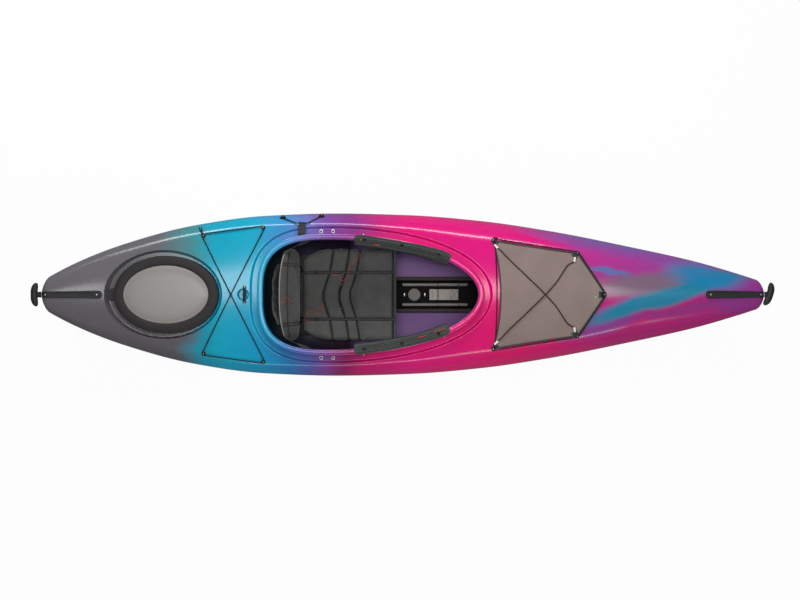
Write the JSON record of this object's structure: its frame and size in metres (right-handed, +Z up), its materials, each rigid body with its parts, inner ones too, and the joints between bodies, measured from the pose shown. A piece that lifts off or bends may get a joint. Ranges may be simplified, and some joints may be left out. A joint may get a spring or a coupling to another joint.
{
  "type": "crossover kayak",
  "caption": "Short sit-inside plastic kayak with a padded seat, coaming, thigh braces, stern hatch, stretched mesh deck panel, deck bungees, drop-down skeg and end handles.",
  "frame": {"origin": "centre of the bounding box at its bottom: on the centreline, mid length, at the flat of the hull bottom", "axes": "+X to the bow along the length, +Y to port, +Z up; shown lying level on its bottom"},
  "size_m": [3.2871, 0.735, 0.3783],
  "materials": {
    "hull_plastic": "rotomoulded polyethylene, blended colours",
    "foam_grey": "closed-cell foam",
    "hatch_rubber": "soft moulded rubber",
    "hatch_plate": "fine-grained moulding",
    "handle_black": "moulded elastomer",
    "fitting_black": "moulded nylon",
    "cord_black": "braided elastic cord",
    "cord_brown": "braided elastic cord",
    "deck_mesh": "open woven mesh",
    "clip_white": "moulded plastic",
    "skeg_grey": "moulded blade",
    "steel": "stainless",
    "seat_plastic": "blow-moulded",
    "seat_fabric": "quilted woven cover over foam",
    "webbing": "woven webbing",
    "webbing_grey": "woven webbing",
    "console_black": "moulded",
    "rail_grey": "anodised",
    "cap_grey": "moulded",
    "rail_black": "black anodised",
    "brace_black": "moulded nylon"
  },
  "bodies": {
    "hull": {"hull_shell": "hull_plastic", "rear_bulkhead": "foam_grey", "security_bar": "fitting_black", "stern_bungee": "cord_black", "deck_mesh_panel": "deck_mesh", "deck_mesh_bungee": "cord_black", "deck_cross_cord_1": "cord_brown", "deck_cross_cord_2": "cord_brown", "paddle_park_hook": "fitting_black", "paddle_park_bungee": "cord_black", "seat_base": "seat_plastic", "seat_cushion": "seat_fabric", "backrest_pivot_rod": "steel", "floor_console": "console_black", "console_cap": "cap_grey", "skeg_pin": "steel", "stern_handle_strap": "handle_black", "bow_handle_strap": "handle_black", "stern_deck_eye_1": "fitting_black", "deck_cord_clip_1": "clip_white", "seat_bolt_1": "steel", "stern_deck_eye_2": "fitting_black", "deck_cord_clip_2": "clip_white", "seat_bolt_2": "steel", "stern_deck_eye_3": "fitting_black", "deck_cord_clip_3": "clip_white", "seat_bolt_3": "steel", "stern_deck_eye_4": "fitting_black", "deck_cord_clip_4": "clip_white", "seat_bolt_4": "steel", "bow_deck_eye_1": "fitting_black", "bow_deck_eye_2": "fitting_black", "bow_deck_eye_3": "fitting_black", "bow_deck_eye_4": "fitting_black", "bow_deck_eye_5": "fitting_black", "paddle_park_eye_1": "fitting_black", "paddle_park_eye_2": "fitting_black", "backrest_strap_port": "webbing", "thigh_brace_port": "seat_plastic", "thigh_pad_port": "seat_fabric", "console_rail_port": "rail_grey", "foot_rail_port": "rail_black", "backrest_strap_starboard": "webbing", "thigh_brace_starboard": "seat_plastic", "thigh_pad_starboard": "seat_fabric", "console_rail_starboard": "rail_grey", "foot_rail_starboard": "rail_black"},
    "hatch_cover": {"hatch_cover_rim": "hatch_rubber", "hatch_cover_plate": "hatch_plate"},
    "backrest": {"backrest_shell": "seat_plastic", "backrest_pad": "seat_fabric", "backrest_rear_panel": "seat_fabric"},
    "leg_lifter": {"leg_lifter_plate": "seat_plastic", "leg_lifter_pad": "seat_fabric"},
    "lifter_strap": {"leg_lifter_strap": "webbing_grey"},
    "pedal_port": {"foot_pedal_port": "brace_black"},
    "pedal_starboard": {"foot_pedal_starboard": "brace_black"},
    "skeg": {"skeg_blade": "skeg_grey"},
    "bow_grip": {"bow_handle_grip": "handle_black"},
    "stern_grip": {"stern_handle_grip": "handle_black"}
  },
  "joints": [
    {"name": "hatch_cover_lift", "type": "slide", "parent": "hull", "child": "hatch_cover", "axis": [0, 0, 1], "range_m": [0, 0.12]},
    {"name": "backrest_tilt", "type": "hinge", "parent": "hull", "child": "backrest", "pos_m": [-0.475, 0, 0.082], "axis": [0, 1, 0], "range_deg": [-3, 30], "deforming": ["backrest_strap_port", "backrest_strap_starboard"]},
    {"name": "leg_lifter_tilt", "type": "hinge", "parent": "hull", "child": "leg_lifter", "pos_m": [-0.225, 0, 0.09229], "axis": [0, -1, 0], "range_deg": [0, 12]},
    {"name": "lifter_strap_pull", "type": "slide", "parent": "hull", "child": "lifter_strap", "axis": [1, 0, 0], "range_m": [0, 0.035]},
    {"name": "foot_pedal_port_slide", "type": "slide", "parent": "hull", "child": "pedal_port", "axis": [0.9849, -0.1733, 0], "range_m": [-0.15, 0.15]},
    {"name": "foot_pedal_starboard_slide", "type": "slide", "parent": "hull", "child": "pedal_starboard", "axis": [0.9849, 0.1733, 0], "range_m": [-0.15, 0.15]},
    {"name": "skeg_pivot", "type": "hinge", "parent": "hull", "child": "skeg", "pos_m": [-1.06, 0, 0.04097], "axis": [0, -1, 0], "range_deg": [0, 48]},
    {"name": "bow_grip_hinge", "type": "hinge", "parent": "hull", "child": "bow_grip", "pos_m": [1.5959, 0, 0.31518], "axis": [0, -1, 0], "range_deg": [0, 75]},
    {"name": "stern_grip_hinge", "type": "hinge", "parent": "hull", "child": "stern_grip", "pos_m": [-1.5959, 0, 0.30338], "axis": [0, 1, 0], "range_deg": [0, 75]}
  ],
  "couplings": [
    {"joint": "lifter_strap_pull", "follows": "leg_lifter_tilt", "m_per_rad": 0.16}
  ]
}
